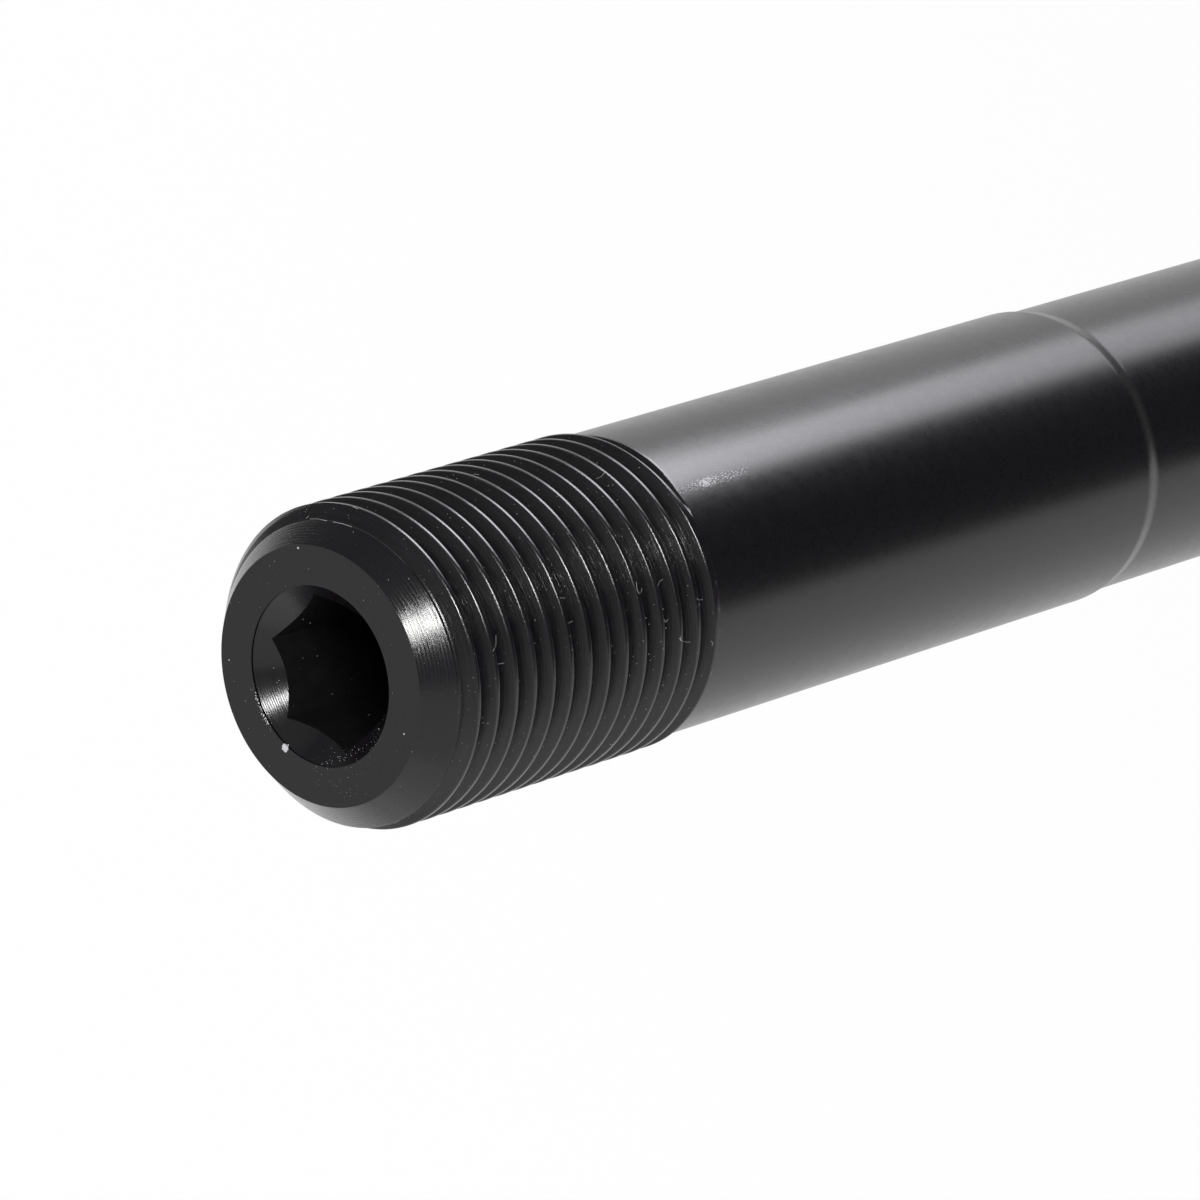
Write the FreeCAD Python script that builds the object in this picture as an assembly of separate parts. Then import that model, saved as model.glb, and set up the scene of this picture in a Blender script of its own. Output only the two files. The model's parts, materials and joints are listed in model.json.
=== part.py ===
import FreeCAD
import Part
import math
import os

# A bicycle thru axle, turned from one bar: a flanged head, a plain journal under the head, a relieved
# shank, a second journal, and a threaded tip with a chamfered nose. A hexagon socket for a key is sunk
# into each end, and a drilled bore joins the two sockets.
# The axle stands on its head: Z runs along it, from the head's end face at zero up to the tip.
# Lengths are in millimetres, angles in degrees. The thread is a plain cylinder at its major diameter.

# Lengths along the axle
under_head_length = 160.0
head_height = 7.0
seat_journal_length = 25.0
tip_journal_length = 25.6
thread_length = 15.2
journal_taper_length = 0.55
thread_end_bevel_length = 0.3

# Diameters
head_diameter = 19.0
seat_journal_diameter = 11.95
shank_diameter = 11.3
tip_journal_diameter = 11.6
thread_diameter = 12.0
bore_diameter = 4.8

# Edges of the head
head_end_radius = 1.2
seat_edge_chamfer = 0.4
seat_corner_radius = 0.4

# Chamfered nose of the thread, with its slope measured from the axis
nose_chamfer_length = 1.46
nose_chamfer_angle = 40.0

# Key sockets: width across flats, depth, and the conical lead-in that reaches past the corners
tip_key_width = 5.0
tip_socket_depth = 10.0
head_key_width = 6.0
head_socket_depth = 8.0
lead_in_past_corners = 0.42
lead_in_cone_angle = 90.0

# How far a cutting tool starts outside the metal
tool_overrun = 1.0

# Heights of the shoulders, and the radii between them
seat_height = head_height
seat_journal_end = seat_height + seat_journal_length
tip_height = seat_height + under_head_length
thread_start = tip_height - thread_length
tip_journal_start = thread_start - tip_journal_length
nose_start = tip_height - nose_chamfer_length
head_radius = head_diameter / 2
seat_journal_radius = seat_journal_diameter / 2
shank_radius = shank_diameter / 2
tip_journal_radius = tip_journal_diameter / 2
thread_radius = thread_diameter / 2
nose_face_radius = thread_radius - nose_chamfer_length * math.tan(math.radians(nose_chamfer_angle))

UP = FreeCAD.Vector(0, 0, 1)
DOWN = FreeCAD.Vector(0, 0, -1)
TOP_OF_AXLE = FreeCAD.Vector(0, 0, tip_height)
FOOT_OF_AXLE = FreeCAD.Vector(0, 0, 0)


def on_profile(radius, height):
    """A point of the half section, which lies in the XZ plane."""
    return FreeCAD.Vector(radius, 0, height)


def straight_run(points):
    """Line edges through the points, in order."""
    return [Part.makeLine(start, end) for start, end in zip(points, points[1:])]


def quarter_round(start, end, centre):
    """A quarter circle between two points of the profile, about its centre."""
    outward = (start - centre) + (end - centre)
    outward.normalize()
    middle = centre + outward * (start - centre).Length
    return Part.Arc(start, middle, end).toShape()


def turned_bar():
    """The bar as it leaves the lathe: its half section turned about Z."""
    end_flat = on_profile(head_radius - head_end_radius, 0)
    end_side = on_profile(head_radius, head_end_radius)
    end_centre = on_profile(head_radius - head_end_radius, head_end_radius)
    seat_foot = on_profile(seat_journal_radius + seat_corner_radius, seat_height)
    journal_foot = on_profile(seat_journal_radius, seat_height + seat_corner_radius)
    corner_centre = on_profile(seat_journal_radius + seat_corner_radius, seat_height + seat_corner_radius)

    edges = straight_run([FOOT_OF_AXLE, end_flat])
    edges.append(quarter_round(end_flat, end_side, end_centre))
    edges += straight_run([
        end_side,
        on_profile(head_radius, seat_height - seat_edge_chamfer),
        on_profile(head_radius - seat_edge_chamfer, seat_height),
        seat_foot,
    ])
    edges.append(quarter_round(seat_foot, journal_foot, corner_centre))
    edges += straight_run([
        journal_foot,
        on_profile(seat_journal_radius, seat_journal_end),
        on_profile(shank_radius, seat_journal_end + journal_taper_length),
        on_profile(shank_radius, tip_journal_start - journal_taper_length),
        on_profile(tip_journal_radius, tip_journal_start),
        on_profile(tip_journal_radius, thread_start),
        on_profile(thread_radius, thread_start + thread_end_bevel_length),
        on_profile(thread_radius, nose_start),
        on_profile(nose_face_radius, tip_height),
        TOP_OF_AXLE,
        FOOT_OF_AXLE,
    ])
    half_section = Part.Face(Part.Wire(edges))
    return half_section.revolve(FOOT_OF_AXLE, UP, 360)


def key_socket(mouth, inward, key_width, depth):
    """The space of one hexagon socket with its conical lead-in, sunk inward from the centre of its mouth."""
    corner_radius = key_width / math.sqrt(3)
    corner_angles = [math.radians(60 * step) for step in range(6)]
    start = mouth - inward * tool_overrun
    corners = [
        start + FreeCAD.Vector(corner_radius * math.cos(angle), corner_radius * math.sin(angle), 0)
        for angle in corner_angles
    ]
    outline = Part.makePolygon(corners + corners[:1])
    hexagon = Part.Face(outline).extrude(inward * (depth + tool_overrun))

    cone_slope = math.tan(math.radians(lead_in_cone_angle / 2))
    mouth_radius = corner_radius + lead_in_past_corners
    outer_radius = mouth_radius + tool_overrun * cone_slope
    cone_length = outer_radius / cone_slope
    lead_in = Part.makeCone(outer_radius, 0, cone_length, start, inward)
    return hexagon.fuse(lead_in)


def drilled_bore():
    """The drill's path, right through the axle from end to end."""
    start = FOOT_OF_AXLE - UP * tool_overrun
    return Part.makeCylinder(bore_diameter / 2, tip_height + 2 * tool_overrun, start, UP)


def thru_axle():
    """The finished axle as one solid."""
    tip_socket = key_socket(TOP_OF_AXLE, DOWN, tip_key_width, tip_socket_depth)
    head_socket = key_socket(FOOT_OF_AXLE, UP, head_key_width, head_socket_depth)
    return turned_bar().cut([drilled_bore(), tip_socket, head_socket]).Solids[0]


os.makedirs("parts", exist_ok=True)
thru_axle().exportStep("parts/thru_axle.step")
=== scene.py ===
import json
import math
import bpy
import numpy as np
from mathutils import Matrix, Vector
from mathutils.bvhtree import BVHTree


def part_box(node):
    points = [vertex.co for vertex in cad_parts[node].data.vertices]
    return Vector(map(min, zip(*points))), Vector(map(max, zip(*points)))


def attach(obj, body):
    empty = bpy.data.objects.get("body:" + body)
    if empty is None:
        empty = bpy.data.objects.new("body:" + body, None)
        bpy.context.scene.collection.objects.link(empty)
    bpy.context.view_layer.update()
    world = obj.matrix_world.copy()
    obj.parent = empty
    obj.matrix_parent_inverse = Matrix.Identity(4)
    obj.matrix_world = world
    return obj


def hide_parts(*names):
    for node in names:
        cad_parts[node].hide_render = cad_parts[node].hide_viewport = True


# Looks of the bicycle thru axle: the turned bar with its helical thread, its black anodised finish, the
# white studio around it and the camera at the photograph's angle.
# Lengths are in millimetres and angles in degrees, unless a name says otherwise.

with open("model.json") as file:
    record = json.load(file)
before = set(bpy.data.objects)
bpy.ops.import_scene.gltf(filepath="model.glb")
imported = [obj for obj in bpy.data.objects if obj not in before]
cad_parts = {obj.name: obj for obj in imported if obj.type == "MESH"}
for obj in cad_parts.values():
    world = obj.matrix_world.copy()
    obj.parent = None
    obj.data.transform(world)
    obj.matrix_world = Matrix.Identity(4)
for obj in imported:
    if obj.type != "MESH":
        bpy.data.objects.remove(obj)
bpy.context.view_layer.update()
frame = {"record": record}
MM = 0.001

# Sizes that the frame gives
MOUNTS = {mount["name"]: mount for mount in frame["record"]["mounts"]}
NODE_LOW, NODE_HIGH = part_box("thru_axle")
TIP_HEIGHT = NODE_HIGH.z / MM
HEAD_RADIUS = (NODE_HIGH.y - NODE_LOW.y) / 2 / MM
SEAT_HEIGHT = MOUNTS["head_seat"]["pos_m"][2] / MM
SEAT_JOURNAL_RADIUS = MOUNTS["head_bearing"]["dims"]["r_mm"]
THREAD_RADIUS = MOUNTS["thread"]["dims"]["r_mm"]

# Sizes of the axle that the frame does not list
SEAT_JOURNAL_LENGTH = 25.0
TIP_JOURNAL_LENGTH = 25.6
TIP_JOURNAL_RADIUS = 5.8
SHANK_RADIUS = 5.65
JOURNAL_TAPER_LENGTH = 0.55
THREAD_LENGTH = 15.2
THREAD_END_BEVEL_LENGTH = 0.3
NOSE_LENGTH = 1.46
NOSE_ANGLE = 40.0
NOSE_FACE_RADIUS = THREAD_RADIUS - NOSE_LENGTH * math.tan(math.radians(NOSE_ANGLE))
BORE_RADIUS = 2.4
TIP_KEY_WIDTH = 5.0
TIP_SOCKET_DEPTH = 10.0
HEAD_KEY_WIDTH = 6.0
HEAD_SOCKET_DEPTH = 8.0
LEAD_IN_PAST_CORNERS = 0.42
HEAD_END_RADIUS = 1.2
SEAT_EDGE_CHAMFER = 0.4
SEAT_CORNER_RADIUS = 0.4

# Fine edges: the soft steps of the journals, the broken edges of the head and the sunk rims of the lead-ins
SOFT_STEP_LENGTH = 0.95
SOFT_STEP_SHIFT = 0.18
SOFT_STEP_RINGS = 13
EDGE_BREAK = 0.05
RIM_STEP = 0.085

# The thread: metric, single start, right-handed, with flanks at 60 degrees to each other
PITCH = 1.0
THREAD_DEPTH = 0.575 * PITCH
ROOT_ROUND = 0.1443 * PITCH
ROOT_TANGENT = ROOT_ROUND * math.cos(math.radians(30))
FLANK_RISE = math.sqrt(3)
FIRST_ROOT_DEPTH = 0.984 - 2 * PITCH
THREAD_ZONE_END = 16.2

# Its run-out: the depth where the tool's feed stops, the depth where the groove starts to lift, the length
# in which it lifts and by how much, over how many such lengths it goes on lifting, the depth where it has
# faded out, and how far the feed still creeps until then
FEED_STOP_DEPTH = 15.0
RUN_OUT_START = 15.06
RUN_OUT_LENGTH = 0.1
RUN_OUT_LIFT = 0.42
RUN_OUT_LENGTHS = 2
RUN_OUT_FADED = RUN_OUT_START + 1.5 * RUN_OUT_LENGTH
FEED_HOLD = 0.1 * RUN_OUT_LENGTH

# Its crests: the width of the rounded edges on the tip's and the head's side, the share of these widths
# that lies on the flank, the parts of a crest and of a groove of which an edge takes one at most, the
# strips of faces across a crest, and the steps of the search for a groove's edge
CREST_TIP_EDGE = 0.055
CREST_HEAD_EDGE = 0.02
CREST_FLANK_SHARE = 0.6
CREST_TIP_LIMIT = 3
CREST_HEAD_LIMIT = 4
GROOVE_LIMIT = 6
CREST_STRIPS = 5
EDGE_SEARCH_STEPS = 40

# Columns of faces round the axle: a multiple of six, so that the sockets' corners fall on columns.
# Faces that meet at more than the sharp angle keep an edge between them
COLUMNS = 180
SHARP_ANGLE = 32.0
TURN = np.arange(COLUMNS) / COLUMNS
COLUMN_ANGLE = -2 * np.pi * TURN

# Turns of the rings that round an edge by a quarter circle
QUARTER_TURNS = [math.radians(angle) for angle in range(0, 91, 15)]

# Places of the lead-in's rings between the wall and the rim, and the finish of each band of a key socket
LEAD_IN_SHARES = (0.0, 0.33, 0.67, 1.0)
SOCKET_BANDS = ("socket", "socket", "lead_in", "lead_in", "lead_in", "lead_in")

# Points that agree to this many digits are one point, lengths that differ by less than nearly nothing are
# equal, and no step of a crest's rows is taken as smaller than the last value
MERGE_DIGITS = 6
NEARLY = 1e-6
SMALLEST_STEP = 1e-9


# Mesh of the axle

class RingMesh:
    """Collects rings of points round the axle and the faces between them, then makes one mesh."""

    def __init__(self):
        self.points = []
        self.faces = []
        self.face_finish = []

    def ring(self, radius, depth):
        """Adds a ring from its radius and its depth below the tip, and returns its point numbers."""
        radius = np.broadcast_to(np.asarray(radius, float), COLUMNS)
        depth = np.broadcast_to(np.asarray(depth, float), COLUMNS)
        first = len(self.points)
        x = radius * np.cos(COLUMN_ANGLE)
        y = radius * np.sin(COLUMN_ANGLE)
        z = TIP_HEIGHT - depth
        self.points.extend(zip(x, y, z))
        return np.arange(first, first + COLUMNS)

    def band(self, ring, next_ring, finish):
        """Joins two rings column by column."""
        for column in range(COLUMNS):
            beside = (column + 1) % COLUMNS
            self.quad(ring[column], ring[beside], next_ring[beside], next_ring[column], finish)

    def quad(self, a, b, c, d, finish):
        self.faces.append((a, b, c, d))
        self.face_finish.append(finish)

    def mesh(self, name, finishes):
        """Merges points that coincide, drops the faces that vanish with them, and builds the mesh."""
        number_at = {}
        merged = []
        kept_points = []
        for point in self.points:
            key = tuple(round(value, MERGE_DIGITS) for value in point)
            if key not in number_at:
                number_at[key] = len(kept_points)
                kept_points.append([value * MM for value in point])
            merged.append(number_at[key])
        kept_faces = []
        kept_finish = []
        for face, finish in zip(self.faces, self.face_finish):
            corners = list(dict.fromkeys(merged[number] for number in face))
            if len(corners) > 2:
                kept_faces.append(corners)
                kept_finish.append(finishes.index(finish))
        mesh = bpy.data.meshes.new(name)
        mesh.from_pydata(kept_points, [], kept_faces)
        mesh.polygons.foreach_set("material_index", kept_finish)
        mesh.update()
        return mesh


def hexagon_radius(key_width):
    """Distance from the axis to the socket's wall at each column, with a corner on the first column."""
    from_flat_middle = np.mod(np.degrees(COLUMN_ANGLE), 60) - 30
    return key_width / 2 / np.cos(np.radians(from_flat_middle))


def rim_radius(key_width):
    """Radius of the outer rim of a socket's lead-in."""
    return key_width / math.sqrt(3) + LEAD_IN_PAST_CORNERS


def socket_rings(key_width, depth):
    """Radius and depth of each ring of a key socket, from its bottom out to the rim of its lead-in."""
    wall = hexagon_radius(key_width)
    rim = rim_radius(key_width)
    rings = [(BORE_RADIUS, depth), (wall, depth)]
    for share in LEAD_IN_SHARES:
        radius = wall + (rim - wall) * share
        rings.append((radius, rim - radius + RIM_STEP))
    rings.append((rim, 0.0))
    return rings


def envelope(depth):
    """Radius of the turned bar, before threading, at a depth below the tip."""
    depths = [0, NOSE_LENGTH, THREAD_LENGTH - THREAD_END_BEVEL_LENGTH, THREAD_LENGTH, THREAD_ZONE_END]
    radii = [NOSE_FACE_RADIUS, THREAD_RADIUS, THREAD_RADIUS, TIP_JOURNAL_RADIUS, TIP_JOURNAL_RADIUS]
    return np.interp(depth, depths, radii)


def groove_radius(offset, lift):
    """Radius of the thread's groove at an axial offset from the middle of its root."""
    offset = np.abs(offset)
    inside_root = np.minimum(offset, ROOT_TANGENT)
    rounded = ROOT_ROUND - np.sqrt(np.maximum(ROOT_ROUND ** 2 - inside_root ** 2, 0))
    flank = np.maximum(offset - ROOT_TANGENT, 0) * FLANK_RISE
    return THREAD_RADIUS - THREAD_DEPTH + lift + rounded + flank


def groove_edge(root, lift, deepest, side):
    """Offset at which a groove meets the bar's surface on one side of its deepest point, by bisection."""
    inside = deepest.copy()
    outside = np.full_like(deepest, side * PITCH / 2)
    for step in range(EDGE_SEARCH_STEPS):
        middle = (inside + outside) / 2
        below = groove_radius(middle, lift) < envelope(np.clip(root + middle, 0, THREAD_ZONE_END))
        inside = np.where(below, middle, inside)
        outside = np.where(below, outside, middle)
    return inside


def crest_rows(start, end, start_flank, end_flank, rounded_start, rounded_end):
    """Depth and radius of the rows over one crest, from one groove's edge to the next one's.

    Where a corner of the bar's outline lies on the crest, the nearest row moves to that corner.
    """
    room = np.maximum(end - start, 0)
    edge_start = np.where(rounded_start, np.minimum(CREST_TIP_EDGE, room / CREST_TIP_LIMIT), 0)
    edge_end = np.where(rounded_end, np.minimum(CREST_HEAD_EDGE, room / CREST_HEAD_LIMIT), 0)
    on_bar_start = start + edge_start
    on_bar_end = end - edge_end
    inner_rows = range(1, CREST_STRIPS)
    flats = [on_bar_start + (on_bar_end - on_bar_start) * row / CREST_STRIPS for row in inner_rows]
    corners = [NOSE_LENGTH, THREAD_LENGTH - THREAD_END_BEVEL_LENGTH, THREAD_LENGTH]
    step = np.maximum((on_bar_end - on_bar_start) / CREST_STRIPS, SMALLEST_STEP)
    for corner in corners:
        nearest = np.clip(np.round((corner - on_bar_start) / step), 1, CREST_STRIPS - 1)
        holds = (corner > on_bar_start) & (corner < on_bar_end)
        flats = [
            np.where(holds & (nearest == row), corner, flat)
            for row, flat in zip(inner_rows, flats)
        ]
    rows = [start_flank, rounded_corner(start_flank, start, on_bar_start)]
    rows += [(depth, envelope(depth)) for depth in [on_bar_start, *flats, on_bar_end]]
    rows += [rounded_corner(end_flank, end, on_bar_end), end_flank]
    return rows


def rounded_corner(flank, corner_depth, bar_depth):
    """The middle point of a crest's rounded edge, from the flank through the corner to the bar."""
    flank_depth, flank_radius = flank
    depth = (flank_depth + bar_depth) / 4 + corner_depth / 2
    radius = (flank_radius + envelope(bar_depth)) / 4 + envelope(corner_depth) / 2
    return depth, radius


def feed_stopped(root):
    """Depth of the roots once the tool's feed has stopped: they stay put until the groove has faded out."""
    last = root.max()
    return np.interp(
        root,
        [FIRST_ROOT_DEPTH, FEED_STOP_DEPTH, RUN_OUT_FADED, last],
        [FIRST_ROOT_DEPTH, FEED_STOP_DEPTH, FEED_STOP_DEPTH + FEED_HOLD, last],
    )


def thread_rows():
    """Depth and radius of every row of the threaded zone, and how many rows one pitch takes.

    The rows follow the helix: each row drops by one pitch in a turn and meets the row one pitch later.
    """
    grooves = math.ceil((THREAD_ZONE_END - FIRST_ROOT_DEPTH) / PITCH) + 2
    root = FIRST_ROOT_DEPTH + PITCH * (np.arange(grooves)[:, None] + TURN[None, :])
    lift = RUN_OUT_LIFT * np.clip((root - RUN_OUT_START) / RUN_OUT_LENGTH, 0, RUN_OUT_LENGTHS) ** 2
    root = feed_stopped(root)
    offsets = [ROOT_TANGENT * share for share in (-1, -0.5, 0, 0.5, 1)]
    heights = []
    for offset in offsets:
        bare = envelope(np.clip(root + offset, 0, THREAD_ZONE_END))
        heights.append(groove_radius(np.full_like(root, offset), lift) - bare)
    height = np.array(heights)
    inside_bar = (root > 0) & (root < THREAD_ZONE_END)
    cuts = (height.min(axis=0) < 0) & inside_bar
    deepest = np.where(cuts, np.array(offsets)[height.argmin(axis=0)], 0.0)
    left = np.where(cuts, groove_edge(root, lift, deepest, -1), 0.0)
    right = np.where(cuts, groove_edge(root, lift, deepest, 1), 0.0)
    widest = (right - left) / GROOVE_LIMIT
    left_edge = np.where(cuts, np.minimum(CREST_HEAD_EDGE * CREST_FLANK_SHARE, widest), 0.0)
    right_edge = np.where(cuts, np.minimum(CREST_TIP_EDGE * CREST_FLANK_SHARE, widest), 0.0)

    def on_groove(number, offset):
        depth = np.clip(root[number] + offset, 0, THREAD_ZONE_END)
        bare = envelope(depth)
        return depth, np.where(cuts[number], np.minimum(groove_radius(offset, lift[number]), bare), bare)

    rows = []
    for number in range(grooves - 1):
        later = number + 1
        low = left[number] + left_edge[number]
        high = right[number] - right_edge[number]
        for offset in offsets:
            place = np.clip(offset, low, high) if cuts[number].any() else right[number]
            rows.append(on_groove(number, place))
        start = np.clip(root[number] + right[number], 0, THREAD_ZONE_END)
        end = np.clip(root[later] + left[later], 0, THREAD_ZONE_END)
        start_flank = on_groove(number, high)
        end_flank = on_groove(later, left[later] + left_edge[later])
        rows += crest_rows(start, end, start_flank, end_flank, cuts[number], cuts[later])
    return rows, len(rows) // (grooves - 1)


def add_thread(build):
    """Adds the nose chamfer, the thread and its run-out, and returns their first and last rings."""
    rows, rows_per_pitch = thread_rows()
    rings = [build.ring(radius, depth) for depth, radius in rows]
    on_nose = []
    past_thread = []
    for depth, radius in rows:
        on_bar = np.abs(radius - envelope(depth)) < NEARLY
        on_nose.append(on_bar & (depth <= NOSE_LENGTH + NEARLY))
        past_thread.append(on_bar & (depth >= THREAD_LENGTH - NEARLY))
    last = COLUMNS - 1
    for row in range(len(rows) - 1):
        for column in range(COLUMNS):
            if column < last:
                far = row
                beside = column + 1
            elif row + 1 + rows_per_pitch < len(rows):
                far = row + rows_per_pitch
                beside = 0
            else:
                continue
            corners = [(row, column), (far, beside), (far + 1, beside), (row + 1, column)]
            finish = "thread"
            if all(on_nose[r][c] for r, c in corners):
                finish = "chamfer"
            elif all(past_thread[r][c] for r, c in corners):
                finish = "satin"
            build.quad(*[rings[r][c] for r, c in corners], finish)
    return rings[0], rings[-1]


def broken_edge(radius_before, depth_before, radius, depth, radius_after, depth_after):
    """Three points that break a sharp edge of the profile, from its neighbours on either side."""
    corner = np.array([radius, depth])
    before = np.array([radius_before, depth_before]) - corner
    after = np.array([radius_after, depth_after]) - corner
    first = corner + before / np.linalg.norm(before) * EDGE_BREAK
    last = corner + after / np.linalg.norm(after) * EDGE_BREAK
    middle = (first + last) / 4 + corner / 2
    return [tuple(first), tuple(middle), tuple(last)]


def soft_step(radius, next_radius, middle):
    """Rings that lead from one radius to the next in a soft S, about the depth of its middle."""
    rings = []
    for share in np.linspace(0, 1, SOFT_STEP_RINGS):
        eased = share * share * (3 - 2 * share)
        depth = middle + (share - 0.5) * SOFT_STEP_LENGTH
        rings.append((radius + (next_radius - radius) * eased, depth))
    return rings


def bar_profile():
    """Radius and depth of the rings below the thread, down to the rim of the head's end face."""
    seat_journal_end = SEAT_HEIGHT + SEAT_JOURNAL_LENGTH
    tip_journal_end = THREAD_LENGTH + TIP_JOURNAL_LENGTH
    seat = TIP_HEIGHT - SEAT_HEIGHT
    tip_step = tip_journal_end + JOURNAL_TAPER_LENGTH / 2 + SOFT_STEP_SHIFT
    seat_step = TIP_HEIGHT - seat_journal_end - JOURNAL_TAPER_LENGTH / 2
    rings = [(TIP_JOURNAL_RADIUS, THREAD_ZONE_END)]
    rings += soft_step(TIP_JOURNAL_RADIUS, SHANK_RADIUS, tip_step)
    rings += soft_step(SHANK_RADIUS, SEAT_JOURNAL_RADIUS, seat_step)
    for turn in QUARTER_TURNS:
        rings.append((
            SEAT_JOURNAL_RADIUS + SEAT_CORNER_RADIUS * (1 - math.cos(turn)),
            seat - SEAT_CORNER_RADIUS * (1 - math.sin(turn)),
        ))
    chamfer_start = (HEAD_RADIUS - SEAT_EDGE_CHAMFER, seat)
    chamfer_end = (HEAD_RADIUS, seat + SEAT_EDGE_CHAMFER)
    round_start = (HEAD_RADIUS, TIP_HEIGHT - HEAD_END_RADIUS)
    rings += broken_edge(*rings[-1], *chamfer_start, *chamfer_end)
    rings += broken_edge(*chamfer_start, *chamfer_end, *round_start)
    for turn in QUARTER_TURNS:
        rings.append((
            HEAD_RADIUS - HEAD_END_RADIUS * (1 - math.cos(turn)),
            TIP_HEIGHT - HEAD_END_RADIUS * (1 - math.sin(turn)),
        ))
    return rings


def even_normals(mesh):
    """Corner normals that follow the larger faces, and split where two faces meet at a sharp angle."""
    corners = len(mesh.loops)
    faces = len(mesh.polygons)
    vertex = np.empty(corners, int)
    sides = np.empty(faces, int)
    area = np.empty(faces)
    normal = np.empty(faces * 3)
    mesh.loops.foreach_get("vertex_index", vertex)
    mesh.polygons.foreach_get("loop_total", sides)
    mesh.polygons.foreach_get("area", area)
    mesh.polygons.foreach_get("normal", normal)
    face = np.repeat(np.arange(faces), sides)
    order = np.argsort(vertex, kind="stable")
    vertex = vertex[order]
    own = normal.reshape(-1, 3)[face[order]]
    weighted = own * area[face[order], None]
    total = weighted.copy()
    for step in range(1, np.bincount(vertex).max()):
        joined = vertex[:-step] == vertex[step:]
        joined &= np.sum(own[:-step] * own[step:], axis=1) > math.cos(math.radians(SHARP_ANGLE))
        total[:-step][joined] += weighted[step:][joined]
        total[step:][joined] += weighted[:-step][joined]
    total /= np.linalg.norm(total, axis=1)[:, None]
    corner_normals = np.empty_like(total)
    corner_normals[order] = total
    return corner_normals.tolist()


def add_axle():
    """The whole axle as one closed mesh, ring by ring from the tip's socket round to the head's."""
    build = RingMesh()
    tip_socket = [build.ring(*ring) for ring in socket_rings(TIP_KEY_WIDTH, TIP_SOCKET_DEPTH)]
    head_socket = [
        build.ring(radius, TIP_HEIGHT - depth)
        for radius, depth in socket_rings(HEAD_KEY_WIDTH, HEAD_SOCKET_DEPTH)
    ]
    thread_first, thread_last = add_thread(build)
    bar = [build.ring(*ring) for ring in bar_profile()]

    for finish, ring, next_ring in zip(SOCKET_BANDS, tip_socket, tip_socket[1:]):
        build.band(ring, next_ring, finish)
    build.band(tip_socket[-1], thread_first, "faced")
    build.band(thread_last, bar[0], "satin")
    for ring, next_ring in zip(bar, bar[1:]):
        build.band(ring, next_ring, "satin")
    build.band(bar[-1], head_socket[-1], "faced")
    outward = list(zip(SOCKET_BANDS, head_socket, head_socket[1:]))
    for finish, ring, next_ring in reversed(outward):
        build.band(next_ring, ring, finish)
    build.band(head_socket[0], tip_socket[0], "socket")

    mesh = build.mesh("thru_axle_body", list(FINISHES))
    mesh.shade_smooth()
    mesh.normals_split_custom_set(even_normals(mesh))
    axle = bpy.data.objects.new("thru_axle_body", mesh)
    bpy.context.scene.collection.objects.link(axle)
    for finish in FINISHES.values():
        mesh.materials.append(finish())
    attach(axle, "root")
    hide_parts("thru_axle")
    return axle


# Materials

ANODISED_BLACK = (0.0033, 0.0023, 0.0036, 1.0)
ANODISED_FADED = (0.0062, 0.0047, 0.0072, 1.0)
ANODISED_DRAWN = (0.0135, 0.0115, 0.0148, 1.0)
DUST_COLOUR = (0.6, 0.6, 0.62, 1.0)
LINT_COLOUR = (0.5, 0.5, 0.5, 1.0)
# pale colour of the scuff's scratches, partly bare metal and partly painted glints
BARE_METAL_AND_GLINT_PALE = (0.62, 0.62, 0.66, 1.0)

# Spacing of the lathe's feed marks
FACED_FEED = 0.135
CHAMFER_FEED = 0.1
LEAD_IN_FEED = 0.06

# Depth of each finish's relief, on the cones as a share of the feed marks' spacing
FACED_RELIEF = 0.0012
CONED_RELIEF_SHARE = 0.012
THREAD_RELIEF = 0.0017
SATIN_RELIEF = 0.0006
SOCKET_RELIEF = 0.002

# Width of the fine lines that are drawn along the cones and along the thread's flanks
CONED_LINE_WIDTH = 0.017
FLANK_LINE_WIDTH = 0.035

# Specks and scratches, the rim's and the scuff's scratches partly painted glints: how many to a millimetre,
# and their usual size
LOOSE_DUST = (4.0, 0.011)
GATHERED_DUST = (9.0, 0.0125)
THREAD_DUST = (5.5, 0.011)
RIM_SCRATCHES_AND_GLINTS = (13.0, 0.04)
SCUFF_SCRATCHES_AND_GLINTS = (19.0, 0.025)

# Pale chips of the tip's end face, the largest at the rim of its lead-in: pixel in the photograph and
# radius, and the shares of the radius between which a chip's ragged edge lies
CHIPS = [((285, 748), 0.15), ((298, 548), 0.04), ((229, 660), 0.025), ((404, 734), 0.032)]
CHIP_RAGGED = (0.4, 1.6)

# Where dust gathers at the tip's lower rim, and where the rim is worn and its glints are painted as pale
# scratches: pixel in the photograph and reach, the width of the wear and painted glints, and the share of a
# reach within which its mask is full
DUSTY_PIXEL = (342, 742)
DUSTY_REACH = 3.2
WORN_AND_GLINT_PIXEL = (259, 710)
WORN_AND_GLINT_REACH = 1.2
WORN_AND_GLINT_WIDTH = 0.3
FULL_SHARE = 0.3

# The scuffed streak on the journal, whose pale scratches are partly painted glints: its angle from the
# photograph's upper side, its half width and the part of that which is full, the depth at which it starts
# to fade, the depth at which it ends, and how its scratches are drawn out along the axle
SCUFF_ANGLE = 63.0
SCUFF_WIDTH = 0.36
SCUFF_FULL_WIDTH = 0.2 * SCUFF_WIDTH
SCUFF_FADE_DEPTH = 18.9
SCUFF_END_DEPTH = 19.6
SCUFF_STRETCH = (1.0, 1.0, 0.5)


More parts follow.
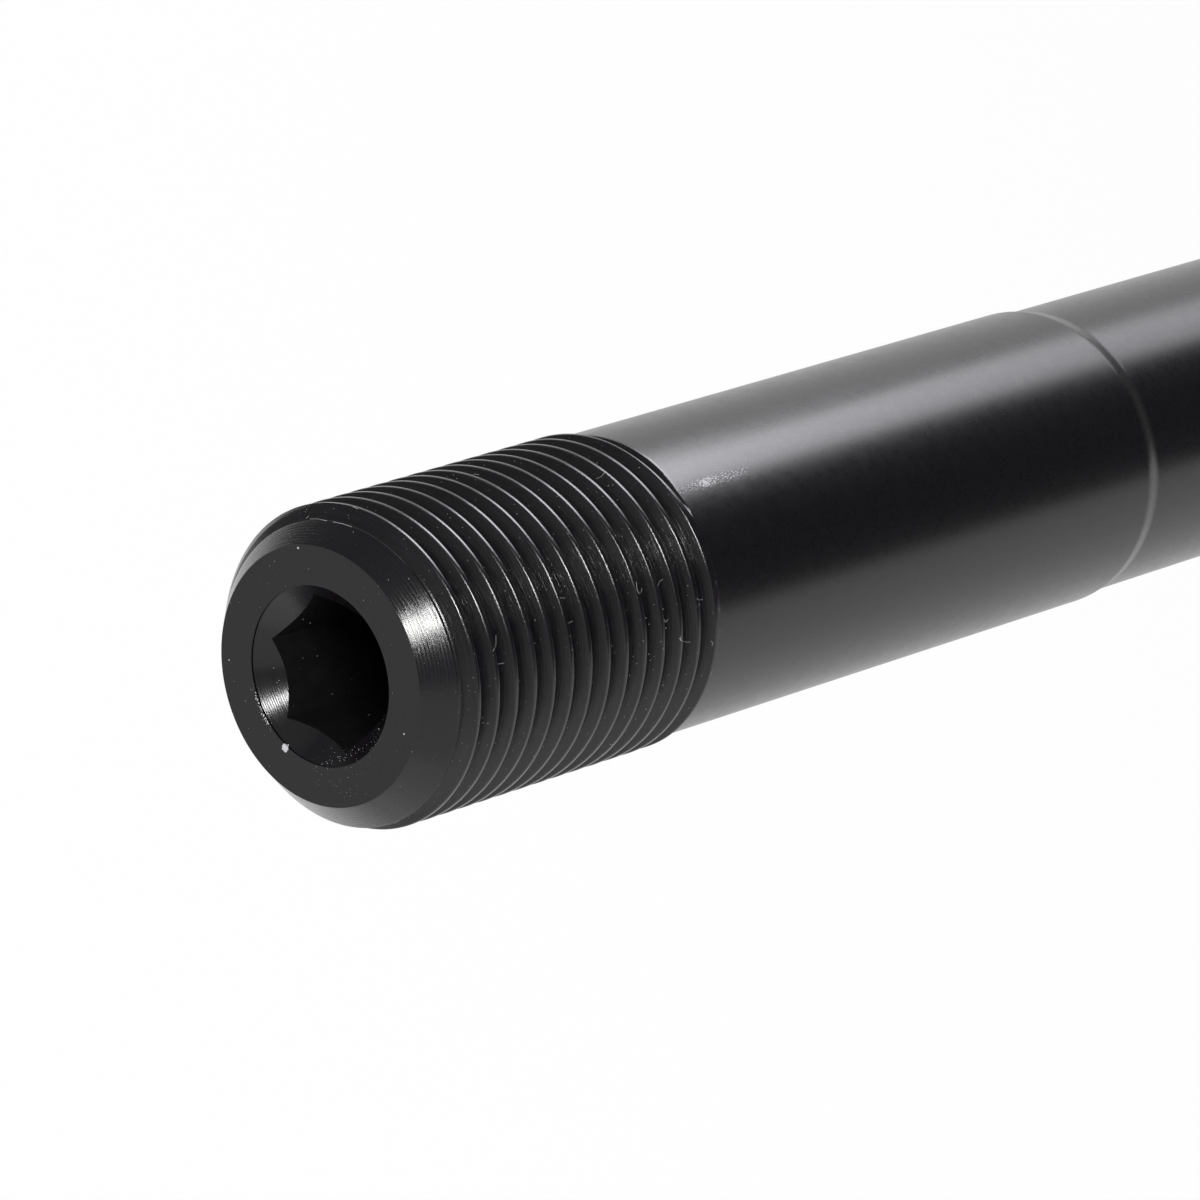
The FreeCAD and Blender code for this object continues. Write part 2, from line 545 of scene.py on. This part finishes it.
class NodeSheet:
    """A short way to add shader nodes to one material and join them."""

    def __init__(self, name):
        self.material = bpy.data.materials.new(name)
        self.material.use_nodes = True
        self.tree = self.material.node_tree
        self.shader = self.tree.nodes["Principled BSDF"]

    def add(self, kind, settings=None, **inputs):
        node = self.tree.nodes.new(kind)
        for key, value in (settings or {}).items():
            setattr(node, key, value)
        for key, value in inputs.items():
            self.feed(node, key.replace("_", " "), value)
        return node

    def feed(self, node, socket, value):
        if isinstance(value, bpy.types.NodeSocket):
            self.tree.links.new(value, node.inputs[socket])
        else:
            node.inputs[socket].default_value = value

    def maths(self, operation, *values):
        node = self.add("ShaderNodeMath", {"operation": operation})
        for socket, value in enumerate(values):
            self.feed(node, socket, value)
        return node.outputs[0]

    def vector(self, operation, first, second):
        node = self.add("ShaderNodeVectorMath", {"operation": operation})
        self.feed(node, 0, first)
        self.feed(node, 1, second)
        return node.outputs

    def scaled(self, value, factor, offset):
        return self.maths("MULTIPLY_ADD", value, factor, offset)

    def length(self, x, y):
        return self.maths("SQRT", self.maths("ADD", self.maths("POWER", x, 2), self.maths("POWER", y, 2)))

    def blend(self, share, colour, other):
        """A mix of two colours by a share from 0 to 1."""
        mix = self.add("ShaderNodeMix", {"data_type": "RGBA"}, Factor=share)
        first_colour, second_colour, mixed_colour = 6, 7, 2
        self.feed(mix, first_colour, colour)
        self.feed(mix, second_colour, other)
        return mix.outputs[mixed_colour]

    def stretched(self, place, across, width):
        """Coordinates for long thin marks: slow along the surface, quick across it."""
        x, y, z = self.split(place)
        slow = 0.6
        drift = 0.9
        long_way = self.maths("ADD", self.maths("MULTIPLY", x, slow), self.maths("MULTIPLY", z, drift))
        joined = self.add("ShaderNodeCombineXYZ", X=long_way, Y=self.maths("MULTIPLY", y, slow))
        self.feed(joined, "Z", self.maths("MULTIPLY", across, 1 / width))
        return joined.outputs["Vector"]

    def split(self, vector):
        return self.add("ShaderNodeSeparateXYZ", Vector=vector).outputs

    def noise(self, place, scale, detail, low, high):
        """Noise with that many bumps to a millimetre, stretched from low to high."""
        texture = self.add("ShaderNodeTexNoise", Vector=place, Scale=scale, Detail=detail, Roughness=0.6)
        spread = self.add("ShaderNodeMapRange", {"clamp": False}, Value=texture.outputs["Fac"])
        self.feed(spread, "To Min", low)
        self.feed(spread, "To Max", high)
        return spread.outputs["Result"]

    def ramp(self, value, zero, one):
        """A soft step of a value, from 0 at one place to 1 at another."""
        step = self.add("ShaderNodeMapRange", {"interpolation_type": "SMOOTHSTEP"}, Value=value)
        self.feed(step, "From Min", zero)
        self.feed(step, "From Max", one)
        return step.outputs["Result"]

    def place(self):
        """Object coordinates in millimetres."""
        place = self.add("ShaderNodeTexCoord")
        scaled = self.add("ShaderNodeVectorMath", {"operation": "SCALE"}, Vector=place.outputs["Object"])
        self.feed(scaled, "Scale", 1 / MM)
        return scaled.outputs["Vector"]

    def radius(self, place):
        """Distance of a place from the axis."""
        x, y, z = self.split(place)
        return self.length(x, y)

    def height(self, place):
        """Height of a place along the axis."""
        return self.split(place)["Z"]


def feed_marks(sheet, place, along, spacing):
    """The lathe's lines across a turned surface, from -1 to 1: evenly spaced, but of uneven strength."""
    wander = sheet.noise(place, 0.5, 2.0, -2.0, 2.0)
    phase = sheet.maths("ADD", sheet.maths("MULTIPLY", along, 2 * math.pi / spacing), wander)
    strength = sheet.noise(place, 1.3, 3.0, -0.2, 1.6)
    return sheet.maths("MULTIPLY", sheet.maths("SINE", phase), strength)


def tiny_specks(sheet, place, kind, within=1.0):
    """1 on tiny specks and 0 between them, thicker in some places than in others, within a mask."""
    per_mm, size = kind
    cells = sheet.add("ShaderNodeTexVoronoi", Vector=place, Scale=per_mm)
    largest = sheet.scaled(sheet.noise(place, 0.9, 2.0, -0.6, 2.2), size * per_mm, 0.0)
    return sheet.maths("LESS_THAN", cells.outputs["Distance"], sheet.maths("MULTIPLY", largest, within))


def tip_distance(sheet, place, pixel):
    """Distance from the place on the tip's end face that lies behind a pixel of the photograph."""
    return sheet.vector("DISTANCE", place, tip_place(pixel))["Value"]


def near_pixel(sheet, place, pixel, reach):
    """1 round the place on the tip's end face that lies behind a pixel, falling to 0 at its reach."""
    return sheet.ramp(tip_distance(sheet, place, pixel), reach, FULL_SHARE * reach)


def end_dust(sheet, place):
    """1 on the dust and the chips of the ends, thickest at the tip's lower rim, and 0 elsewhere."""
    gathered = tiny_specks(sheet, place, GATHERED_DUST, near_pixel(sheet, place, DUSTY_PIXEL, DUSTY_REACH))
    specks = sheet.maths("MAXIMUM", gathered, tiny_specks(sheet, place, LOOSE_DUST))
    smallest, largest = CHIP_RAGGED
    for pixel, radius in CHIPS:
        edge = sheet.noise(place, 9.0, 2.0, smallest * radius, largest * radius)
        chip = sheet.maths("LESS_THAN", tip_distance(sheet, place, pixel), edge)
        specks = sheet.maths("MAXIMUM", specks, chip)
    return specks


def worn_and_glint_mask(sheet, place, radius):
    """1 on the worn stretch of the tip's rim, where pale scratches are partly painted glints, falling to 0
    around it.
    """
    rim = rim_radius(TIP_KEY_WIDTH)
    across = sheet.ramp(radius, rim + WORN_AND_GLINT_WIDTH, rim)
    return sheet.maths("MULTIPLY", across, near_pixel(sheet, place, WORN_AND_GLINT_PIXEL, WORN_AND_GLINT_REACH))


def scuff_and_glint_mask(sheet, place):
    """1 on the scuffed streak beside the thread's end, where pale scratches are partly painted glints,
    falling to 0 around it.
    """
    x, y, z = sheet.split(place)
    around = math.radians(SOCKET_TURN - SCUFF_ANGLE)
    beside_x = sheet.maths("SUBTRACT", x, TIP_JOURNAL_RADIUS * math.cos(around))
    beside_y = sheet.maths("SUBTRACT", y, TIP_JOURNAL_RADIUS * math.sin(around))
    across = sheet.ramp(sheet.length(beside_x, beside_y), SCUFF_WIDTH, SCUFF_FULL_WIDTH)
    along = sheet.ramp(z, TIP_HEIGHT - SCUFF_END_DEPTH, TIP_HEIGHT - SCUFF_FADE_DEPTH)
    return sheet.maths("MULTIPLY", across, along)


def anodised(name):
    """A new black anodised material: its node sheet, and the place on the axle that its textures follow."""
    sheet = NodeSheet(name)
    return sheet, sheet.place()


def finished(sheet, roughness, tone, relief, relief_depth, specks, faded=ANODISED_FADED, pale=DUST_COLOUR):
    """Joins a finish's gloss, depth of colour, relief and pale specks to its shader."""
    colour = sheet.blend(tone, ANODISED_BLACK, faded)
    sheet.feed(sheet.shader, "Base Color", sheet.blend(specks, colour, pale))
    sheet.feed(sheet.shader, "Roughness", sheet.maths("MAXIMUM", roughness, specks))
    bump = sheet.add("ShaderNodeBump", Height=relief, Strength=1.0, Distance=relief_depth * MM)
    sheet.feed(sheet.shader, "Normal", bump.outputs["Normal"])
    return sheet.material


def faced_finish():
    """The flat ends, with the facing tool's rings and the worn rim of the tip's socket, its pale scratches
    partly painted glints.
    """
    sheet, place = anodised("anodised_faced")
    radius = sheet.radius(place)
    rings = feed_marks(sheet, place, radius, FACED_FEED)
    tone = sheet.maths("ADD", sheet.scaled(rings, 0.45, 0.0), sheet.noise(place, 6.0, 3.0, -0.5, 1.5))
    roughness = sheet.scaled(rings, 0.05, 0.25)
    # pale scratches of the worn rim, partly wear and partly painted glints
    scratches_and_glints = tiny_specks(sheet, place, RIM_SCRATCHES_AND_GLINTS, worn_and_glint_mask(sheet, place, radius))
    specks = sheet.maths("MAXIMUM", end_dust(sheet, place), scratches_and_glints)
    return finished(sheet, roughness, tone, rings, FACED_RELIEF, specks)


def coned_finish(name, spacing):
    """A turned cone, with strong feed marks that break up highlights."""
    sheet, place = anodised(name)
    height = sheet.height(place)
    lines = feed_marks(sheet, place, height, spacing)
    fine = sheet.noise(sheet.stretched(place, height, CONED_LINE_WIDTH), 1.0, 2.0, -2.0, 2.0)
    relief = sheet.maths("ADD", lines, fine)
    roughness = sheet.scaled(relief, 0.06, 0.18)
    tone = sheet.noise(place, 6.0, 3.0, -0.5, 1.5)
    return finished(sheet, roughness, tone, relief, CONED_RELIEF_SHARE * spacing, end_dust(sheet, place))


def chamfer_finish():
    """The chamfer of the nose."""
    return coned_finish("anodised_chamfer", CHAMFER_FEED)


def lead_in_finish():
    """The sockets' lead-ins, turned with a finer feed."""
    return coned_finish("anodised_lead_in", LEAD_IN_FEED)


def thread_finish():
    """The thread, with drawn lines along its flanks and a fine bright grain."""
    sheet, place = anodised("anodised_thread")
    grain = sheet.noise(place, 20.0, 2.0, -1.5, 1.5)
    flank_lines = sheet.stretched(place, sheet.radius(place), FLANK_LINE_WIDTH)
    relief = sheet.maths("ADD", sheet.noise(flank_lines, 1.0, 2.0, -2.0, 2.0), grain)
    roughness = sheet.noise(place, 1.7, 6.0, 0.12, 0.3)
    tone = sheet.scaled(relief, 0.5, 0.3)
    dust = tiny_specks(sheet, place, THREAD_DUST)
    return finished(sheet, roughness, tone, relief, THREAD_RELIEF, dust, faded=ANODISED_DRAWN)


def satin_finish():
    """The plain journals, the shank and the head, with a cloudy gloss and one scuffed streak, whose pale
    scratches are partly painted glints.
    """
    sheet, place = anodised("anodised_satin")
    scuff_and_glints = scuff_and_glint_mask(sheet, place)
    fine = sheet.noise(place, 6.0, 2.0, -0.3, 0.3)
    sparkle = sheet.noise(place, 12.0, 2.0, -8.0, 8.0)
    relief = sheet.maths("ADD", fine, sheet.maths("MULTIPLY", sparkle, scuff_and_glints))
    roughness = sheet.noise(place, 1.7, 6.0, 0.22, 0.34)
    tone = sheet.noise(place, 6.0, 3.0, -0.5, 1.0)
    drawn_out = sheet.vector("MULTIPLY", place, SCUFF_STRETCH)["Vector"]
    # pale scratches along the scuffed streak, partly wear and partly painted glints
    scratches_and_glints = tiny_specks(sheet, drawn_out, SCUFF_SCRATCHES_AND_GLINTS, scuff_and_glints)
    return finished(sheet, roughness, tone, relief, SATIN_RELIEF, scratches_and_glints, pale=BARE_METAL_AND_GLINT_PALE)


def socket_finish():
    """The walls of the key sockets and the bore, duller than the outside."""
    sheet, place = anodised("anodised_socket")
    relief = sheet.noise(place, 5.0, 4.0, -1.0, 1.0)
    roughness = sheet.noise(place, 1.7, 6.0, 0.4, 0.6)
    tone = sheet.noise(place, 6.0, 3.0, -0.5, 0.8)
    return finished(sheet, roughness, tone, relief, SOCKET_RELIEF, end_dust(sheet, place))


FINISHES = {
    "faced": faced_finish,
    "chamfer": chamfer_finish,
    "lead_in": lead_in_finish,
    "thread": thread_finish,
    "satin": satin_finish,
    "socket": socket_finish,
}


# Camera, from the photograph's perspective

# The photograph's width and focal length in pixels, the axle's lean from the line of sight, its tilt in
# the picture, its turn about itself, and the tip's place as the camera sees it
PHOTO_WIDTH = 1200.0
FOCAL_PIXELS = 8778.0
SENSOR_WIDTH = 36.0
CLIP_START = 10.0
AXIS_TO_VIEW = 43.03
AXIS_TILT = 17.12
SOCKET_TURN = 8.5
TIP_FROM_CAMERA = Vector((-9.936, -2.715, -311.17))


def view_axes():
    """Directions as the camera sees them: the axle's upper side, its near side and towards its head."""
    lean = math.radians(AXIS_TO_VIEW)
    tilt = math.radians(AXIS_TILT)
    to_head = Vector((math.sin(lean) * math.cos(tilt), math.sin(lean) * math.sin(tilt), -math.cos(lean)))
    upper_side = Vector((-math.sin(tilt), math.cos(tilt), 0))
    near_side = to_head.cross(upper_side)
    return upper_side, near_side, to_head


def camera_matrix():
    """The camera's place in the frame, with the axle standing on its head."""
    upper_side, near_side, to_head = view_axes()
    turn = math.radians(SOCKET_TURN)
    x_axis = math.cos(turn) * upper_side + math.sin(turn) * near_side
    z_axis = -to_head
    y_axis = z_axis.cross(x_axis)
    to_frame = Matrix((x_axis, y_axis, z_axis))
    place = Vector((0, 0, TIP_HEIGHT)) - to_frame @ TIP_FROM_CAMERA
    return Matrix.Translation(place * MM) @ to_frame.to_4x4()


def add_camera():
    data = bpy.data.cameras.new("photo_camera")
    data.sensor_width = SENSOR_WIDTH
    data.lens = FOCAL_PIXELS * SENSOR_WIDTH / PHOTO_WIDTH
    data.clip_start = CLIP_START * MM
    camera = bpy.data.objects.new("photo_camera", data)
    bpy.context.scene.collection.objects.link(camera)
    camera.matrix_world = camera_matrix()
    bpy.context.scene.camera = camera


def pixel_ray(pixel):
    """Where the line of sight through a pixel of the photograph starts, and its direction."""
    across, down = pixel
    middle = PHOTO_WIDTH / 2
    camera = camera_matrix()
    direction = Vector(((across - middle) / FOCAL_PIXELS, (middle - down) / FOCAL_PIXELS, -1))
    return camera.translation / MM, (camera.to_3x3() @ direction).normalized()


def tip_place(pixel):
    """The place on the tip's end face that lies behind a pixel of the photograph."""
    origin, direction = pixel_ray(pixel)
    return origin + direction * (TIP_HEIGHT - origin.z) / direction.z


# Lint and dust grains that lie on the axle, placed by the photograph's pixels

LINT_SEED = 12
LINT_ROUGHNESS = 0.9
LINT_RADIUS = 0.007
FIBRE_SIDES = 5

# A grain's radius, how far its middle stands off the axle, and between which shares its corners vary
GRAIN_RADIUS = 0.024
GRAIN_STAND_OFF = 0.5
GRAIN_LUMPS = (0.6, 1.2)

SOCKET_GRAINS = [
    (303, 619), (310, 623), (303, 658), (317, 656), (332, 694),
    (369, 715), (379, 729), (359, 750), (338, 757), (340, 761),
]
THREAD_GRAINS = [
    (646, 618), (649, 624), (663, 609), (665, 622), (666, 628), (663, 649), (663, 685), (649, 654),
    (646, 709), (597, 463), (572, 650), (535, 620), (517, 514), (476, 507),
]
LINT = [
    [(636, 582), (637, 590), (639, 594), (641, 592), (642, 588)],
    [(663, 579), (659, 582), (658, 586)],
    [(605, 472), (601, 477), (596, 479)],
    [(496, 635), (496, 645), (493, 651)],
    [(697, 599), (700, 600), (703, 599)],
    [(699, 603), (700, 606)],
    [(679, 638), (682, 641), (686, 642), (690, 642)],
    [(681, 636), (680, 641)],
    [(711, 641), (713, 643), (712, 646)],
    [(664, 619), (666, 622), (668, 619)],
    [(498, 664), (504, 663)],
    [(568, 623), (573, 621)],
    [(560, 598), (565, 598)],
    [(472, 475), (475, 474), (479, 475)],
    [(310, 519), (318, 519), (327, 521)],
    [(333, 522), (343, 524), (352, 527)],
    [(394, 823), (399, 821)],
    [(353, 507), (358, 509)],
    [(306, 519), (309, 516)],
]


class PixelRays:
    """Finds the place on the axle that lies behind a pixel of the photograph."""

    def __init__(self, axle):
        points = [vertex.co / MM for vertex in axle.data.vertices]
        faces = [list(polygon.vertices) for polygon in axle.data.polygons]
        self.tree = BVHTree.FromPolygons(points, faces)

    def place(self, pixel):
        """The place and its normal."""
        return self.tree.ray_cast(*pixel_ray(pixel))[:2]


class LintMesh:
    """Collects the points and faces of fibres and grains."""

    def __init__(self):
        self.points = []
        self.faces = []
        self.random = np.random.default_rng(LINT_SEED)

    def fibre(self, path):
        """A thin tube along places on the axle, each with its normal."""
        first = len(self.points)
        for number, (point, normal) in enumerate(path):
            before = path[max(number - 1, 0)][0]
            after = path[min(number + 1, len(path) - 1)][0]
            sideways = (after - before).cross(normal).normalized()
            middle = point + normal * LINT_RADIUS
            for side in range(FIBRE_SIDES):
                turn = 2 * math.pi * side / FIBRE_SIDES
                outward = math.cos(turn) * sideways + math.sin(turn) * normal
                self.points.append(middle + LINT_RADIUS * outward)
        for number in range(len(path) - 1):
            ring = first + number * FIBRE_SIDES
            next_ring = ring + FIBRE_SIDES
            for side in range(FIBRE_SIDES):
                beside = (side + 1) % FIBRE_SIDES
                self.faces.append((ring + side, ring + beside, next_ring + beside, next_ring + side))
        last = len(self.points) - FIBRE_SIDES
        self.faces.append(tuple(first + side for side in reversed(range(FIBRE_SIDES))))
        self.faces.append(tuple(last + side for side in range(FIBRE_SIDES)))

    def grain(self, point, normal):
        """A lumpy grain of eight faces that sits on the axle."""
        sideways = normal.orthogonal().normalized()
        along = normal.cross(sideways)
        first = len(self.points)
        middle = point + normal * GRAIN_RADIUS * GRAIN_STAND_OFF
        for direction in (sideways, along, -sideways, -along, normal, -normal):
            self.points.append(middle + direction * GRAIN_RADIUS * self.random.uniform(*GRAIN_LUMPS))
        for side in range(4):
            beside = (side + 1) % 4
            self.faces.append((first + side, first + beside, first + 4))
            self.faces.append((first + beside, first + side, first + 5))


def add_lint(axle):
    """Fibres and grains, as one piece that rides on the axle."""
    rays = PixelRays(axle)
    build = LintMesh()
    for pixels in LINT:
        path = []
        for (x, y), (next_x, next_y) in zip(pixels, pixels[1:]):
            steps = max(abs(next_x - x), abs(next_y - y))
            for step in range(steps):
                share = step / steps
                path.append(rays.place((x + (next_x - x) * share, y + (next_y - y) * share)))
        path.append(rays.place(pixels[-1]))
        build.fibre(path)
    for pixel in SOCKET_GRAINS + THREAD_GRAINS:
        build.grain(*rays.place(pixel))
    mesh = bpy.data.meshes.new("lint")
    mesh.from_pydata([point * MM for point in build.points], [], build.faces)
    sheet = NodeSheet("pale_lint")
    sheet.feed(sheet.shader, "Base Color", LINT_COLOUR)
    sheet.feed(sheet.shader, "Roughness", LINT_ROUGHNESS)
    mesh.materials.append(sheet.material)
    lint = bpy.data.objects.new("lint", mesh)
    bpy.context.scene.collection.objects.link(lint)
    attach(lint, "root")


# Studio: white floor, white surroundings, and cards that show only in reflections

FLOOR_SIZE = 12000.0
FLOOR_DEPTH = 0.02
CARD_STEPS = 24
WHITE = (1, 1, 1)
SOFTBOX_COLOUR = (0.945, 0.95, 1.0)
STRIP_COLOUR = (1, 1, 0.99)

# The cards: name, first and last azimuth, heights and reaches of the lower and upper edge, colour, strength
CARDS = [
    ("softbox_0", (4, 37.8), (0, 52), (70, 70), SOFTBOX_COLOUR, 3.5),
    ("softbox_1", (5, 37.8), (52, 62), (70, 70), SOFTBOX_COLOUR, 4.1),
    ("softbox_2", (8, 37.8), (62, 71), (70, 70), SOFTBOX_COLOUR, 5.0),
    ("softbox_3", (11, 37.8), (71, 85), (70, 70), SOFTBOX_COLOUR, 5.3),
    ("softbox_4", (5, 37.8), (85, 125), (70, 70), SOFTBOX_COLOUR, 11.0),
    ("softbox_side", (37.8, 46), (88, 125), (69, 69), SOFTBOX_COLOUR, 6.0),
    ("dark_side", (39, 129), (0, 156), (70, 70), WHITE, 0.06),
    ("dark_foot", (-20, 131), (1, 1), (70, 20), WHITE, 0.1),
    ("dark_back", (-60, 38), (140, 600), (150, 150), WHITE, 0.22),
    ("pale_back", (4, 38), (240, 600), (149, 149), WHITE, 0.38),
    ("dark_front", (38, 122), (156, 600), (150, 150), WHITE, 0.3),
    ("dim_near", (122, 174), (350, 600), (150, 150), WHITE, 0.58),
    ("pale_near", (122, 174), (200, 350), (150, 150), WHITE, 0.78),
    ("dim_far", (-145, -60), (158, 600), (150, 150), WHITE, 0.68),
    ("ceiling", (-180, 180), (600, 600), (150, 1), WHITE, 0.35),
    ("strip_light", (70, 81), (230, 308), (140, 140), STRIP_COLOUR, 57.0),
]


def emission(name, colour, strength):
    material = bpy.data.materials.new(name)
    material.use_nodes = True
    tree = material.node_tree
    tree.nodes.remove(tree.nodes["Principled BSDF"])
    light = tree.nodes.new("ShaderNodeEmission")
    light.inputs["Color"].default_value = (*colour, 1.0)
    light.inputs["Strength"].default_value = strength
    tree.links.new(light.outputs["Emission"], tree.nodes["Material Output"].inputs["Surface"])
    return material


def add_floor():
    half = FLOOR_SIZE / 2 * MM
    below = -FLOOR_DEPTH * MM
    mesh = bpy.data.meshes.new("floor")
    corners = [(-half, -half, below), (half, -half, below), (half, half, below), (-half, half, below)]
    mesh.from_pydata(corners, [], [(0, 1, 2, 3)])
    sheet = NodeSheet("floor_white")
    sheet.feed(sheet.shader, "Base Color", (*WHITE, 1))
    sheet.feed(sheet.shader, "Roughness", 1.0)
    sheet.feed(sheet.shader, "Specular IOR Level", 0.0)
    mesh.materials.append(sheet.material)
    floor = bpy.data.objects.new("floor", mesh)
    bpy.context.scene.collection.objects.link(floor)


def add_card(name, azimuths, heights, reaches, colour, strength):
    """A curved card round the axle, from one azimuth to another, that shows only in reflections.

    Azimuth 0 is the side that is uppermost in the photograph, and 90 the side nearest the camera.
    The card has a lower and an upper edge, each with its height and its reach from the axis.
    """
    first, last = azimuths
    points = []
    for step in range(CARD_STEPS + 1):
        azimuth = first + (last - first) * step / CARD_STEPS
        around = math.radians(SOCKET_TURN - azimuth)
        for height, reach in zip(heights, reaches):
            points.append((reach * math.cos(around) * MM, reach * math.sin(around) * MM, height * MM))
    faces = [(2 * step, 2 * step + 2, 2 * step + 3, 2 * step + 1) for step in range(CARD_STEPS)]
    mesh = bpy.data.meshes.new(name)
    mesh.from_pydata(points, [], faces)
    mesh.materials.append(emission(name, colour, strength))
    card = bpy.data.objects.new(name, mesh)
    bpy.context.scene.collection.objects.link(card)
    card.visible_camera = False
    card.visible_diffuse = False
    card.visible_transmission = False
    card.visible_shadow = False


def add_studio():
    world = bpy.data.worlds.new("white_studio")
    world.use_nodes = True
    background = world.node_tree.nodes["Background"]
    background.inputs["Color"].default_value = (*WHITE, 1)
    background.inputs["Strength"].default_value = 1.0
    bpy.context.scene.world = world
    add_floor()
    for card in CARDS:
        add_card(*card)


bpy.context.scene.view_settings.view_transform = "Standard"
add_camera()
add_studio()
add_lint(add_axle())
